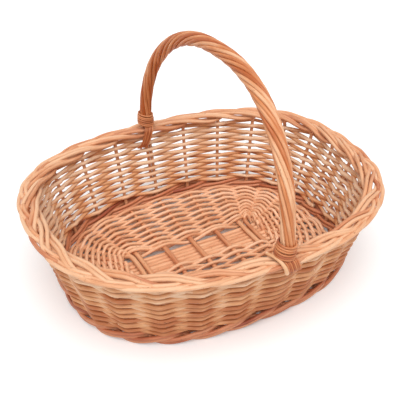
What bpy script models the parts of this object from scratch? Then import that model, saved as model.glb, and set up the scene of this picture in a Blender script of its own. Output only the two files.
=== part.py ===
"""Oval willow foraging basket: stick base, woven wall, plaited border, wrapped hoop handle."""

import bisect
import math

import bmesh
import bpy
from mathutils import Matrix, Vector

# Whole basket. X is the long way, Y the short way, Z up, floor at zero.
RIM_LENGTH = 0.420
RIM_WIDTH = 0.3524
RIM_POWER = 2.48
FOOT_LENGTH = 0.3442
FOOT_WIDTH = 0.2674
FOOT_POWER = 2.58
RIM_LEVEL = 0.1094
HANDLE_TOP = 0.2725

# Small handmade unevenness read from the photograph.
RIM_SHIFT_X = 0.0028
RIM_SHIFT_Y = -0.0024
RIM_TURN = -0.0244
RIM_RISE_END = 0.0030
RIM_RISE_SIDE = -0.0018
RIM_RISE_ENDS = 0.0023
RIM_RISE_CORNERS = 0.0016
FOOT_SHIFT_X = 0.0057
FOOT_SHIFT_Y = 0.0021
STAKE_DRIFT_SHARE = 0.70
FRONT_DRIFT_SHARE = 0.20

# Rods, all as radii.
STAKE_RADIUS = 0.0023
STAKE_TIP_RADIUS = 0.0018
WEAVER_RADIUS = 0.0020
FLOOR_WEAVER_RADIUS = 0.00135
WALE_RADIUS = 0.0024
STICK_RADIUS = 0.0029
STICK_END_RADIUS = 0.0022
CLEARANCE = 0.0003
SLACK = 0.0003

# Counts.
STAKES = 26
WALL_ROWS = 16
LONG_STICKS = 6
CROSS_STICKS = 7
CROSS_SINGLES = 2
WALE_STRANDS = 3
SECTION_SIDES = 5
FLAT_SIDES = 4
ARC_STEPS = 2880
WELD = 0.000002

# Floor.
FLOOR_MIDDLE = 0.0084
FLOOR_EDGE_MIDDLE = 0.0063
FLOOR_EDGE = 0.0102
FLOOR_FIRST_SPACING = 0.0110
FLOOR_ROW_PITCH = 0.0034
FLOOR_SETTLE_SHARE = 0.15
STICK_JOIN = 0.0004
CROSS_PITCH = 0.0367
CROSS_PAIR_GAP = 0.0081
LATTICE_OVERHANG = 0.0005
STICK_STOP_SHARE = 0.72
FLOOR_FIRST_SHARE = 0.04
REST_CUT = 0.0006

# Wall and border.
WALE_REACH = 0.0052
WALE_INSIDE = 0.0098
WALE_HIGH = 0.0124
WALE_SEAM_SHARE = 0.06
STAKE_HEEL = 0.0034
WALL_BOTTOM = 0.0174
BORDER_HALF_WIDTH = 0.0135
BORDER_HALF_HEIGHT = 0.0066
PLAIT_STAKES = 3
PLAIT_STEPS = 9
PLAIT_PERIODS = 2
PLAIT_START = math.radians(197.0)
PLAIT_FIRST_SHARE = 0.25
PLAIT_FLAT_SHARE = 0.60
TONGUE_OUT = 0.0020
HOOP_OUT = -0.0006
NUDGE_OUT = 0.0014
NUDGE_IN = 0.0022
NUDGE_BLEND = 0.0020
NUDGE_SPREAD_SHARE = 0.32

# Handle.
CORE_RADIUS = 0.0046
TONGUE_RADIUS = 0.0022
TONGUE_TIP_LEVEL = 0.036
TONGUE_PLACE_SHARE = 0.165
TONGUE_SPAN_SHARE = 0.03
TONGUE_SHOULDER = 0.0020
HANDLE_POWER = 2.18
HANDLE_APEX_X = 0.0191
HANDLE_APEX_Y = -0.0056
CORE_STATIONS = 18
CORE_SIDES = 6
WRAP_RODS = 10
WRAP_ROD_RADIUS = 0.0020
WRAP_TURNS = 2.6
WRAP_TOP_SHARE = 0.50
WRAP_STATIONS = 28
WRAP_VALLEY = 0.0014
WRAP_BANDS = 2
BINDING_RADIUS = 0.00115
BINDING_LOOPS = 6
LOOP_POINTS = 14
BINDING_PITCH = 0.0029
LASH_RODS = 5
LASH_ROD_RADIUS = 0.0012
LASH_END_LEVEL = 0.079
LASH_SPARE = 0.0014
PEG_RADIUS = 0.0024
PEG_INNER = -0.0125
PEG_SINK = 0.0018
PEG_BEND = 0.0078
PEG_SHOULDER = 0.0149
PEG_OUTER = 0.0172
PEG_END_LEVEL = 0.1030

HALF = 0.5
RIM_SHIFT = Vector((RIM_SHIFT_X, RIM_SHIFT_Y, 0))
FOOT_SHIFT = Vector((FOOT_SHIFT_X, FOOT_SHIFT_Y, 0))
HANDLE_APEX = Vector((HANDLE_APEX_X, HANDLE_APEX_Y, 0))
WALE_LOW = WALE_RADIUS - REST_CUT
STICK_PITCH = 2 * STICK_RADIUS + CLEARANCE + 2 * SLACK
LATTICE_HALF_WIDTH = STICK_PITCH * LONG_STICKS / 2 + LATTICE_OVERHANG
LATTICE_HALF_LENGTH = CROSS_SINGLES * CROSS_PITCH + CROSS_PAIR_GAP + STICK_RADIUS + LATTICE_OVERHANG
THIRD_TURN = math.tau / PLAIT_STAKES
MID_BACK = 6
MID_FRONT = 19
TONGUE_PLACES = (MID_BACK + TONGUE_PLACE_SHARE, MID_FRONT + TONGUE_PLACE_SHARE)
BORDER_TOP = RIM_LEVEL + BORDER_HALF_HEIGHT
BORDER_UNDER = RIM_LEVEL - BORDER_HALF_HEIGHT
WRAP_CENTRE = CORE_RADIUS + CLEARANCE + WRAP_ROD_RADIUS
WRAP_OUTSIDE = WRAP_CENTRE + WRAP_ROD_RADIUS
BINDING_CENTRE = WRAP_OUTSIDE + CLEARANCE + BINDING_RADIUS
LASH_START = BORDER_TOP + NUDGE_OUT / 2 + LASH_ROD_RADIUS
WRAP_START = LASH_START + LASH_ROD_RADIUS + 3 * CLEARANCE
BINDING_START = WRAP_START + BINDING_RADIUS
STAKE_LINE_LENGTH = RIM_LENGTH / 2 - BORDER_HALF_WIDTH
STAKE_LINE_WIDTH = RIM_WIDTH / 2 - BORDER_HALF_WIDTH
PAIR_HALF = STAKE_RADIUS + CLEARANCE / 2
PLAIT_WIDTH = BORDER_HALF_WIDTH - PAIR_HALF - STAKE_RADIUS
PLAIT_HEIGHT = BORDER_HALF_HEIGHT - STAKE_RADIUS
STAKE_TURN_LEVEL = BORDER_UNDER - STAKE_RADIUS
WALL_TOP = BORDER_UNDER - 2 * WEAVER_RADIUS
ROW_PITCH = (WALL_TOP - WALL_BOTTOM) / WALL_ROWS
WALL_OFFSET = STAKE_RADIUS + WEAVER_RADIUS + CLEARANCE + SLACK


def lerp(first, last, share):
    return first + (last - first) * share


def signed_power(value, power):
    return math.copysign(abs(value) ** power, value)


def oval(angle, half_length, half_width, power):
    """Point and outward direction on a squarish oval."""
    c, s = math.cos(angle), math.sin(angle)
    point = Vector((half_length * signed_power(c, 2 / power), half_width * signed_power(s, 2 / power), 0))
    bend = 2 - 2 / power
    out = Vector((signed_power(c, bend) / half_length, signed_power(s, bend) / half_width, 0))
    return point, out.normalized()


def arc_table():
    """Angles and arc lengths round the stake line half way up the wall."""
    length = lerp(FOOT_LENGTH / 2, STAKE_LINE_LENGTH, HALF)
    width = lerp(FOOT_WIDTH / 2, STAKE_LINE_WIDTH, HALF)
    power = lerp(FOOT_POWER, RIM_POWER, HALF)
    angles = [math.tau * step / ARC_STEPS for step in range(ARC_STEPS + 1)]
    points = [oval(angle, length, width, power)[0] for angle in angles]
    arcs = [0.0]
    for before, after in zip(points, points[1:]):
        arcs.append(arcs[-1] + (after - before).length)
    return angles, [arc / arcs[-1] for arc in arcs]


def stake_angle(stake):
    """Angle on the ovals of a place counted in stakes."""
    around = math.tau * (stake + HALF) / STAKES
    back, front = HALF + HALF * math.sin(around), HALF - HALF * math.sin(around)
    drift = FRONT_DRIFT_SHARE * front - STAKE_DRIFT_SHARE * math.cos(around) * back
    share = (stake + HALF + drift) / STAKES
    turns = math.floor(share)
    at = bisect.bisect_right(ARC_SHARES, share - turns) - 1
    at = min(at, ARC_STEPS - 1)
    inside = (share - turns - ARC_SHARES[at]) / (ARC_SHARES[at + 1] - ARC_SHARES[at])
    return turns * math.tau + lerp(ARC_ANGLES[at], ARC_ANGLES[at + 1], inside)


def rim_rise(angle):
    ends = RIM_RISE_END * math.cos(angle) + RIM_RISE_ENDS * math.cos(2 * angle)
    return ends + RIM_RISE_SIDE * math.sin(angle) + RIM_RISE_CORNERS * math.sin(2 * angle)


def on_wall(stake, level, out=0.0):
    """Place on the flaring wall: round in stakes, up, and out from the stake line."""
    angle = stake_angle(stake)
    share = (level - FLOOR_EDGE_MIDDLE) / (RIM_LEVEL - FLOOR_EDGE_MIDDLE)
    length = lerp(FOOT_LENGTH / 2, STAKE_LINE_LENGTH, share)
    width = lerp(FOOT_WIDTH / 2, STAKE_LINE_WIDTH, share)
    point, normal = oval(angle, length, width, lerp(FOOT_POWER, RIM_POWER, share))
    point += normal * out
    point.rotate(Matrix.Rotation(RIM_TURN * share, 3, "Z"))
    point += FOOT_SHIFT.lerp(RIM_SHIFT, share)
    point.z = level + rim_rise(angle) * max(share, 0)
    return point


def finish(name, colour, roughness):
    """Plain willow finish shared by the pieces of one kind."""
    material = bpy.data.materials.new(name)
    material.use_nodes = True
    shader = material.node_tree.nodes["Principled BSDF"]
    shader.inputs["Base Color"].default_value = (*colour, 1.0)
    shader.inputs["Roughness"].default_value = roughness
    shader.inputs["Metallic"].default_value = 0.0
    return material


def profile_curve(name, points):
    """Closed outline that a sweep carries along its path."""
    curve = bpy.data.curves.new(name, "CURVE")
    curve.dimensions = "2D"
    spline = curve.splines.new("POLY")
    spline.points.add(len(points) - 1)
    for place, (x, y) in zip(spline.points, points):
        place.co = (x, y, 0, 1)
    spline.use_cyclic_u = True
    holder = bpy.data.objects.new(name, curve)
    bpy.context.scene.collection.objects.link(holder)
    return holder


def sweep(name, points, radii, outline, material, tilts=None, twist="MINIMUM"):
    """Rod along points: an outline of unit size, scaled at each point."""
    curve = bpy.data.curves.new(name, "CURVE")
    curve.dimensions = "3D"
    curve.twist_mode = twist
    curve.use_fill_caps = True
    curve.bevel_mode = "OBJECT"
    curve.bevel_object = outline
    spline = curve.splines.new("POLY")
    spline.points.add(len(points) - 1)
    for index, place in enumerate(spline.points):
        place.co = (*points[index], 1)
        place.radius = radii[index]
        place.tilt = tilts[index] if tilts else 0.0
    return settle(name, curve, material)


def settle(name, curve, material):
    """Turns a curve into one closed mesh object that faces out."""
    source = bpy.data.objects.new(name + "_path", curve)
    bpy.context.scene.collection.objects.link(source)
    bpy.context.view_layer.update()
    graph = bpy.context.evaluated_depsgraph_get()
    mesh = bpy.data.meshes.new_from_object(source.evaluated_get(graph))
    bpy.data.objects.remove(source)
    shape = bmesh.new()
    shape.from_mesh(mesh)
    bmesh.ops.remove_doubles(shape, verts=shape.verts, dist=WELD)
    bmesh.ops.recalc_face_normals(shape, faces=shape.faces)
    for face in shape.faces:
        face.smooth = len(face.verts) == FLAT_SIDES
    shape.to_mesh(mesh)
    shape.free()
    mesh.name = name
    mesh.materials.clear()
    mesh.materials.append(material)
    piece = bpy.data.objects.new(name, mesh)
    bpy.context.scene.collection.objects.link(piece)
    return piece


def rod(name, points, radius, outline, material, end_radius=None, twist="MINIMUM"):
    last = radius if end_radius is None else end_radius
    steps = len(points) - 1
    radii = [lerp(radius, last, index / steps) for index in range(len(points))]
    return sweep(name, points, radii, outline, material, twist=twist)


def polygon(sides, turn=0.0):
    """Corners of a regular outline whose circle has unit size."""
    turns = [turn + math.tau * side / sides for side in range(sides)]
    return [(math.cos(angle), math.sin(angle)) for angle in turns]


def cross_place(number):
    """Where a cross stick lies along the middle, counted from the centre one."""
    inner = min(abs(number), CROSS_SINGLES) * CROSS_PITCH
    outer = CROSS_PAIR_GAP if abs(number) > CROSS_SINGLES else 0.0
    return math.copysign(inner + outer, number)


def rib_ends(index):
    """Inner end of a floor rib at the middle lattice, and its outer end."""
    outer = on_wall(index, FLOOR_EDGE_MIDDLE)
    side = 1 if index < STAKES / 2 else -1
    from_middle = (MID_BACK - index) if side > 0 else (index - MID_FRONT)
    if abs(from_middle) <= CROSS_STICKS // 2:
        x = cross_place(from_middle)
        return Vector((x, side * LATTICE_HALF_WIDTH, FLOOR_MIDDLE)), outer
    end = 1 if outer.x > FOOT_SHIFT.x else -1
    rank = abs(from_middle) - CROSS_STICKS // 2
    y = side * STICK_PITCH * (LONG_STICKS / 2 - rank + HALF)
    return Vector((end * LATTICE_HALF_LENGTH, y, FLOOR_MIDDLE)), outer


def rib_level(index, share):
    """Height of a floor rib: off the lattice it settles to the middle of the weave."""
    crosses = abs(rib_rank(index)) <= CROSS_STICKS // 2
    lift = (STICK_RADIUS + CLEARANCE / 2) * (1 if crosses else -1)
    settled = min(share / FLOOR_SETTLE_SHARE, 1)
    return lerp(FLOOR_MIDDLE, FLOOR_EDGE_MIDDLE, share) + lift * (1 - settled)


def rib_rank(index):
    """Ribs counted from the middle of the side that they are on."""
    wrapped = index % STAKES
    return (MID_BACK - wrapped) if wrapped < STAKES / 2 else (wrapped - MID_FRONT)


def rib_point(index, share):
    inner, outer = rib_ends(index % STAKES)
    point = inner.lerp(outer, share)
    point.z = rib_level(index, share)
    return point


def rib_spacing(index, share):
    """Distance to the nearer neighbouring rib at the same share of the way out."""
    here = rib_point(index, share)
    return min((rib_point(index + step, share) - here).xy.length for step in (-1, 1))


def first_share(index):
    """Where the first floor row crosses a rib: where rods fit between the ribs."""
    share = FLOOR_FIRST_SHARE
    while share < 1 and rib_spacing(index, share) < FLOOR_FIRST_SPACING:
        share += FLOOR_FIRST_SHARE / 4
    return share


def rib_length(index):
    return (rib_point(index, 1) - rib_point(index, 0)).xy.length


def floor_rows():
    """Rows that fit on the floor rib with the least room for them."""
    rooms = (rib_length(index) * (1 - FIRST_SHARES[index]) - FLOOR_EDGE for index in range(STAKES))
    return int(min(rooms) / FLOOR_ROW_PITCH)


def floor_weaver(name, begin, outline, material):
    """One rod that spirals out through the floor ribs, over and under in turn."""
    reach = STICK_END_RADIUS + FLOOR_WEAVER_RADIUS + CLEARANCE + SLACK
    total = STAKES * floor_rows() // 2
    points = []
    for index in range(begin, begin + total + 1):
        last = 1 - FLOOR_EDGE / rib_length(index)
        share = lerp(FIRST_SHARES[index % STAKES], last, (index - begin) / total)
        space = rib_spacing(index, share)
        thicker = (STICK_RADIUS - STICK_END_RADIUS) * max(1 - share / FLOOR_SETTLE_SHARE, 0)
        clear = reach + thicker
        rise = clear * space / math.sqrt(space * space - 4 * clear * clear)
        point = rib_point(index, share)
        point.z += rise if (index - begin) % 2 else -rise
        points.append(point)
    return rod(name, points, FLOOR_WEAVER_RADIUS, outline, material, twist="Z_UP")


def long_stick(number, outline, material):
    """Stick along the basket; its ends fan out between the others."""
    right = (number - LONG_STICKS // 2) % STAKES
    left = STAKES // 2 - 1 - (number - LONG_STICKS // 2)
    shares = (STICK_STOP_SHARE, FLOOR_SETTLE_SHARE, 0)
    points = [rib_point(right, share) for share in shares]
    points += [rib_point(left, share) for share in reversed(shares)]
    return fanned_stick(f"long_stick_{number + 1}", points, outline, material)


def cross_stick(number, outline, material):
    """Stick across the basket, on top of the long ones."""
    place = number - CROSS_STICKS // 2
    back, front = MID_BACK - place, MID_FRONT + place
    shares = (STICK_STOP_SHARE, FLOOR_SETTLE_SHARE, 0)
    points = [rib_point(back, share) for share in shares]
    points += [rib_point(front, share) for share in reversed(shares)]
    return fanned_stick(f"cross_stick_{number + 1}", points, outline, material)


def fanned_stick(name, points, outline, material):
    thin, thick = STICK_END_RADIUS, STICK_RADIUS
    radii = [thin, thin, thick, thick, thin, thin]
    return sweep(name, points, radii, outline, material)


def nudged(stake, out):
    """Rods of the plait step aside where the handle passes down between them."""
    for place in TONGUE_PLACES:
        gap = (stake - place + STAKES / 2) % STAKES - STAKES / 2
        near = math.exp(-((gap / NUDGE_SPREAD_SHARE) ** 2))
        side = min(max((out - TONGUE_OUT) / NUDGE_BLEND, -1), 1)
        out += near * lerp(-NUDGE_IN, NUDGE_OUT, HALF + HALF * side)
    return out


def plait_point(stake, phase, aside):
    """Place of one rod in the three-strand plait: from an edge it crosses over, to one it dives under."""
    spacing = (on_wall(stake + HALF, RIM_LEVEL) - on_wall(stake - HALF, RIM_LEVEL)).length
    s, flat = math.sin(phase), PLAIT_FLAT_SHARE
    slope = PLAIT_WIDTH * math.cos(phase) * (1 + flat - 3 * flat * s * s) * THIRD_TURN / spacing
    out = PLAIT_WIDTH * s * (1 + flat * (1 - s * s)) + aside * math.hypot(1, slope)
    return on_wall(stake, RIM_LEVEL - PLAIT_HEIGHT * math.sin(2 * phase), nudged(stake, out))


def stake_points(index):
    """Foot in the floor, bend, way up the wall, then two turns of the plait."""
    inner, outer = rib_ends(index)
    length = (outer - inner).xy.length
    points = [rib_point(index, STICK_STOP_SHARE + STICK_JOIN / length)]
    past = FLOOR_EDGE - FLOOR_WEAVER_RADIUS - CLEARANCE
    points.append(rib_point(index, 1 - past / length))
    points.append(on_wall(index, STAKE_HEEL, -2 * STAKE_RADIUS))
    points.append(on_wall(index, STAKE_HEEL + STAKE_RADIUS / 2, -STAKE_RADIUS / 4))
    points.append(on_wall(index, WALE_INSIDE))
    points.append(on_wall(index, WALL_TOP))
    points.append(on_wall(index, STAKE_TURN_LEVEL, -PAIR_HALF / 2))
    for step in range(PLAIT_PERIODS * PLAIT_STEPS):
        turned = (step + PLAIT_FIRST_SHARE) / PLAIT_STEPS
        aside = PAIR_HALF if step < PLAIT_STEPS else -PAIR_HALF
        phase = PLAIT_START + math.tau * turned
        points.append(plait_point(index + PLAIT_STAKES * turned, phase, aside))
    return points


def stake_middle(stake, level):
    """Middle of a straight upright stake at a level."""
    share = (level - WALE_INSIDE) / (WALL_TOP - WALE_INSIDE)
    return on_wall(stake, WALE_INSIDE).lerp(on_wall(stake, WALL_TOP), share)


def weave_point(stake, level, side, reach):
    """Where a rod bends round a leaning stake so that it keeps clear of it on both sides."""
    here = stake_middle(stake, level)
    reach /= (stake_middle(stake, WALL_TOP) - stake_middle(stake, WALL_BOTTOM)).normalized().z
    normal = (on_wall(stake, level, reach) - on_wall(stake, level)).normalized()
    bend = here + normal * (side * reach)
    ways = [(on_wall(stake + step, level, -side * reach) - bend).normalized() for step in (-1, 1)]
    return here + normal * (side * reach / min(normal.cross(way).length for way in ways))


def wall_weaver(name, begin, outline, material):
    """One rod that climbs round the wall, outside and inside of the stakes in turn."""
    total = STAKES * WALL_ROWS // 2
    points = []
    for index in range(begin, begin + total + 1):
        handle = index % STAKES in (MID_BACK, MID_FRONT)
        steps = (-TONGUE_SPAN_SHARE, TONGUE_PLACE_SHARE + TONGUE_SPAN_SHARE) if handle else (0.0,)
        spare = handle or index in (begin, begin + total)
        reach = WALL_OFFSET + (2 * SLACK if spare else 0.0)
        side = 1 if (index - begin) % 2 else -1
        for step in steps:
            level = WALL_BOTTOM + ROW_PITCH * 2 * (index + step - begin) / STAKES
            points.append(weave_point(index + step, level, side, reach))
    return rod(name, points, WEAVER_RADIUS, outline, material, twist="Z_UP")


def wale_strand(number, outline, material):
    """Rod of the three-rod wale: outside two stakes, inside the third."""
    places = ((-WALE_REACH, WALE_INSIDE), (WALE_REACH, WALE_LOW), (WALE_REACH, WALE_HIGH))
    points = []
    for index in range(STAKES + 1):
        out, level = places[(index + number) % WALE_STRANDS]
        following = places[(index + number + 1) % WALE_STRANDS]
        before = places[(index + number - 1) % WALE_STRANDS]
        if index == 0:
            share = WALE_SEAM_SHARE
            out, level = lerp(out, following[0], share), lerp(level, following[1], share)
            points.append(on_wall(share, level, out))
        elif index == STAKES:
            share = 1 - WALE_SEAM_SHARE
            out, level = lerp(before[0], out, share), lerp(before[1], level, share)
            points.append(on_wall(index - WALE_SEAM_SHARE, level, out))
        else:
            points.append(on_wall(index, level, out))
    strand = rod(f"foot_wale_{number + 1}", points, WALE_RADIUS, outline, material)
    cut_flat(strand)
    return strand


def cut_flat(piece):
    """Takes the underside off at the floor, so that the basket stands on flats."""
    shape = bmesh.new()
    shape.from_mesh(piece.data)
    geometry = shape.verts[:] + shape.edges[:] + shape.faces[:]
    made = bmesh.ops.bisect_plane(
        shape, geom=geometry, plane_co=(0, 0, 0), plane_no=(0, 0, -1), clear_outer=True
    )
    edges = [item for item in made["geom_cut"] if isinstance(item, bmesh.types.BMEdge)]
    bmesh.ops.holes_fill(shape, edges=edges)
    bmesh.ops.recalc_face_normals(shape, faces=shape.faces)
    shape.to_mesh(piece.data)
    shape.free()


def above_rim(place, level, out):
    """Place straight above or below the border's middle line."""
    point = on_wall(place, RIM_LEVEL, out)
    point.z += level - RIM_LEVEL
    return point


def arch_point(turn):
    """Middle line of the hoop, from the front foot at zero to the back foot at half a turn."""
    back, front = (on_wall(place, RIM_LEVEL, HOOP_OUT) for place in TONGUE_PLACES)
    c, s = math.cos(turn), math.sin(turn)
    share = HALF - HALF * signed_power(c, 2 / HANDLE_POWER)
    point = front.lerp(back, share)
    level = lerp(point.z, HANDLE_TOP, abs(s) ** (2 / HANDLE_POWER))
    point += (HANDLE_APEX - front.lerp(back, HALF)) * (s * s)
    point.z = level
    return point


def arch_turn(level, far):
    """Turn at which the hoop reaches a level at one of its feet."""
    foot = on_wall(TONGUE_PLACES[0 if far else 1], RIM_LEVEL)
    share = (level - RIM_LEVEL) / (HANDLE_TOP - foot.z)
    turn = math.asin(share ** (HANDLE_POWER / 2))
    return math.pi - turn if far else turn


def handle_core(outline, material):
    """Hoop rod with a whittled tongue at each end that goes down inside the wall."""
    shoulder = BORDER_TOP + TONGUE_SHOULDER
    sides = []
    for place in reversed(TONGUE_PLACES):
        tongue = [on_wall(place, TONGUE_TIP_LEVEL)]
        tongue.append(on_wall(place, WALL_TOP))
        tongue.append(on_wall(place, BORDER_UNDER + STAKE_RADIUS, TONGUE_OUT))
        tongue.append(on_wall(place, BORDER_TOP, TONGUE_OUT))
        sides.append(tongue)
    start, end = arch_turn(shoulder, False), arch_turn(shoulder, True)
    turns = [lerp(start, end, step / CORE_STATIONS) for step in range(CORE_STATIONS + 1)]
    points = sides[0] + [arch_point(turn) for turn in turns] + sides[1][::-1]
    thin = [TONGUE_RADIUS] * len(sides[0])
    radii = thin + [CORE_RADIUS] * len(turns) + thin
    return sweep("handle_core", points, radii, outline, material)


def wrap_outline():
    """Half ring of ridges: the rods of one group, side by side round the core."""
    step = math.tau / WRAP_RODS
    rods = WRAP_RODS // WRAP_BANDS
    edge = step * rods / 2 - CLEARANCE / WRAP_CENTRE
    valley = WRAP_OUTSIDE - WRAP_VALLEY
    outer = [(-edge, WRAP_CENTRE)]
    for number in range(rods):
        middle = step * (number - (rods - 1) / 2)
        outer.append((middle, WRAP_OUTSIDE))
        if number < rods - 1:
            outer.append((middle + step / 2, valley))
    outer.append((edge, WRAP_CENTRE))
    inner_steps = rods - 2
    inside = (CORE_RADIUS + 2 * CLEARANCE) / math.cos(edge / inner_steps)
    inner = [(lerp(edge, -edge, number / inner_steps), inside) for number in range(inner_steps + 1)]
    return [(radius * math.cos(angle), radius * math.sin(angle)) for angle, radius in outer + inner]


def wrap_band(number, outline, material):
    """Group of rods that winds round the core, slowly at the feet and faster over the top."""
    start, end = arch_turn(WRAP_START, False), arch_turn(WRAP_START, True)
    points, tilts = [], []
    for step in range(WRAP_STATIONS + 1):
        share = step / WRAP_STATIONS
        points.append(arch_point(lerp(start, end, share)))
        eased = share - WRAP_TOP_SHARE * math.sin(math.tau * share) / math.tau
        tilts.append(math.tau * (WRAP_TURNS * eased + number / WRAP_BANDS))
    name = f"handle_wrap_{number + 1}"
    return sweep(name, points, [1.0] * len(points), outline, material, tilts=tilts)


def binding(name, far, material):
    """Thin rod wound round the handle foot, as one unbroken tube."""
    points = []
    for index in range(BINDING_LOOPS * LOOP_POINTS + 1):
        turned = index / LOOP_POINTS
        level = BINDING_START + BINDING_PITCH * turned
        centre = arch_point(arch_turn(level, far))
        angle = math.tau * turned
        points.append(centre + Vector((math.cos(angle), math.sin(angle), 0)) * BINDING_CENTRE)
    print(name, "least gap to itself", least_gap(points), "m")
    curve = bpy.data.curves.new(name, "CURVE")
    curve.dimensions = "3D"
    curve.bevel_depth = BINDING_RADIUS
    curve.bevel_resolution = 1
    curve.use_fill_caps = True
    spline = curve.splines.new("POLY")
    spline.points.add(len(points) - 1)
    for spot, point in zip(spline.points, points):
        spot.co = (*point, 1)
    return settle(name, curve, material)


def least_gap(points):
    """Least gap between loops, measured from point to point."""
    apart = LOOP_POINTS // 2
    pairs = ((a, b) for a in range(len(points)) for b in range(a + apart, len(points)))
    return round(min((points[a] - points[b]).length for a, b in pairs) - 2 * BINDING_RADIUS, 6)


def lash_outline():
    """Thin rods side by side, as one ridged ribbon."""
    width = 2 * LASH_ROD_RADIUS
    across = [width * (number - (LASH_RODS - 1) / 2) for number in range(LASH_RODS)]
    ridge, valley = LASH_ROD_RADIUS, LASH_ROD_RADIUS * HALF
    top = [(across[0] - LASH_ROD_RADIUS, 0.0)]
    for number, x in enumerate(across):
        top.append((x, ridge))
        if number < LASH_RODS - 1:
            top.append((x + LASH_ROD_RADIUS, valley))
    top.append((across[-1] + LASH_ROD_RADIUS, 0.0))
    return top + [(x, -ridge) for x in (across[-1], across[0])]


def lashing(name, place, side, outline, material):
    """Ends of the wrapping rods, laid over the edge of the border and down the wall."""
    edge = BORDER_HALF_WIDTH + (NUDGE_OUT if side > 0 else NUDGE_IN)
    over = edge + LASH_ROD_RADIUS + 2 * CLEARANCE
    close = WALL_OFFSET + WEAVER_RADIUS + LASH_ROD_RADIUS + LASH_SPARE
    start = CORE_RADIUS + LASH_ROD_RADIUS + CLEARANCE
    upper = (
        ((TONGUE_OUT if side > 0 else HOOP_OUT) + side * start, LASH_START),
        (side * (over - 2 * LASH_ROD_RADIUS), LASH_START),
        (side * over, RIM_LEVEL + PLAIT_HEIGHT),
        (side * over, RIM_LEVEL - PLAIT_HEIGHT),
    )
    lower = (
        (side * lerp(over, close, HALF), lerp(BORDER_UNDER, LASH_END_LEVEL, HALF / 2)),
        (side * close, LASH_END_LEVEL + LASH_ROD_RADIUS),
        (side * close, LASH_END_LEVEL - LASH_ROD_RADIUS),
    )
    points = [above_rim(place, level, out) for out, level in upper]
    points += [on_wall(place, level, out) for out, level in lower]
    return sweep(name, points, [1.0] * len(points), outline, material)


def peg(outline, material):
    """Stub of rod laid over the border beside the front foot, its end bent down outside."""
    place = TONGUE_PLACES[1]
    spacing = (on_wall(place, RIM_LEVEL) - on_wall(place - 1, RIM_LEVEL)).length
    beside = BINDING_CENTRE + BINDING_RADIUS + CLEARANCE + PEG_RADIUS
    stake = place - beside / spacing
    level = BORDER_TOP + PEG_RADIUS + CLEARANCE - PEG_SINK
    outs = (PEG_INNER, PEG_BEND, PEG_SHOULDER, PEG_OUTER, PEG_OUTER)
    levels = (level, level, level - CLEARANCE, RIM_LEVEL + PLAIT_HEIGHT / 2, PEG_END_LEVEL)
    points = [above_rim(stake, height, out) for height, out in zip(levels, outs)]
    return rod("rim_peg", points, PEG_RADIUS, outline, material)


def centre_on_origin(pieces):
    """Moves the whole basket so that the middle of its outer box is over the origin."""
    places = [vertex.co for piece in pieces for vertex in piece.data.vertices]
    lows = Vector((min(place.x for place in places), min(place.y for place in places), 0))
    highs = Vector((max(place.x for place in places), max(place.y for place in places), 0))
    shift = Matrix.Translation(-lows.lerp(highs, HALF))
    for piece in pieces:
        piece.data.transform(shift)


def clear_scene():
    for item in list(bpy.data.objects):
        bpy.data.objects.remove(item)


def build():
    """Makes every piece of the basket."""
    clear_scene()
    pale = finish("willow_pale", (0.80, 0.56, 0.34), 0.45)
    warm = finish("willow_warm", (0.72, 0.44, 0.24), 0.48)
    tan = finish("willow_tan", (0.66, 0.43, 0.22), 0.50)
    red = finish("willow_red", (0.58, 0.29, 0.17), 0.52)
    brown = finish("willow_brown", (0.62, 0.33, 0.15), 0.45)
    eighth = math.pi / FLAT_SIDES
    square = [(x * math.sqrt(2), y * math.sqrt(2)) for x, y in polygon(FLAT_SIDES, eighth)]
    flat = profile_curve("flat_outline", square)
    round_five = profile_curve("round_outline", polygon(SECTION_SIDES))
    round_six = profile_curve("core_outline", polygon(CORE_SIDES))
    wrapped = profile_curve("wrap_outline", wrap_outline())
    ribbon = profile_curve("lash_outline", lash_outline())
    for number in range(LONG_STICKS):
        long_stick(number, round_five, pale)
    for number in range(CROSS_STICKS):
        cross_stick(number, round_five, warm)
    floor_weaver("floor_weaver_1", 0, flat, pale)
    floor_weaver("floor_weaver_2", STAKES // 2, flat, pale)
    for number in range(WALE_STRANDS):
        wale_strand(number, round_five, red)
    for index in range(STAKES):
        name = f"stake_{index + 1:02d}"
        rod(name, stake_points(index), STAKE_RADIUS, round_five, warm, STAKE_TIP_RADIUS)
    wall_weaver("wall_weaver_1", 0, flat, tan)
    wall_weaver("wall_weaver_2", STAKES // 2, flat, tan)
    handle_core(round_six, brown)
    for number in range(WRAP_BANDS):
        wrap_band(number, wrapped, warm)
    back, front = TONGUE_PLACES
    binding("binding_back", True, brown)
    binding("binding_front", False, brown)
    lashing("lashing_back", back, -1, ribbon, brown)
    lashing("lashing_front", front, 1, ribbon, brown)
    peg(round_six, red)
    for outline in (flat, round_five, round_six, wrapped, ribbon):
        bpy.data.objects.remove(outline)
    centre_on_origin(list(bpy.data.objects))


ARC_ANGLES, ARC_SHARES = arc_table()
FIRST_SHARES = [first_share(index) for index in range(STAKES)]
build()
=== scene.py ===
"""Oval willow foraging basket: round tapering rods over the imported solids, with floor, light and camera."""

import bisect
import logging
import math
import random
from dataclasses import dataclass, field
from enum import Enum

import bmesh
import bpy
import numpy as np
from mathutils import Matrix, Vector


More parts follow.
